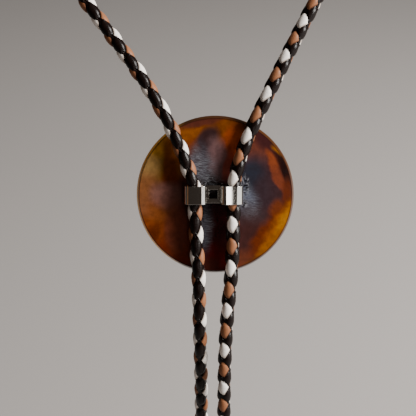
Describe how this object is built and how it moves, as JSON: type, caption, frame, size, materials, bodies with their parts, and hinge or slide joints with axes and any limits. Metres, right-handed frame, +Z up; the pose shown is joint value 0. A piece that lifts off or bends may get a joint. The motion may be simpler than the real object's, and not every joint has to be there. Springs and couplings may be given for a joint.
{
  "type": "bolo tie",
  "caption": "Round resin slide with a bent metal clip on its back, worn on a braided leather cord whose two ends hang below it in plain metal tips.",
  "frame": {"origin": "where the neck cord bears on the back of the wearer's neck", "axes": "+Z up, +X to the right of someone facing the wearer, +Y from the slide towards the wearer's back"},
  "size_m": [0.1262, 0.1557, 0.2517],
  "materials": {
    "resin": "polished tortoiseshell resin",
    "nickel": "bright nickel plate",
    "leather": "braided lace, dark brown, tan and white"
  },
  "bodies": {
    "root": {"slide_disc": "resin", "slide_clip": "nickel", "neck_cord": "leather", "cord_end_left": "leather", "cord_end_right": "leather", "tip_left": "nickel", "tip_right": "nickel"}
  },
  "joints": []
}
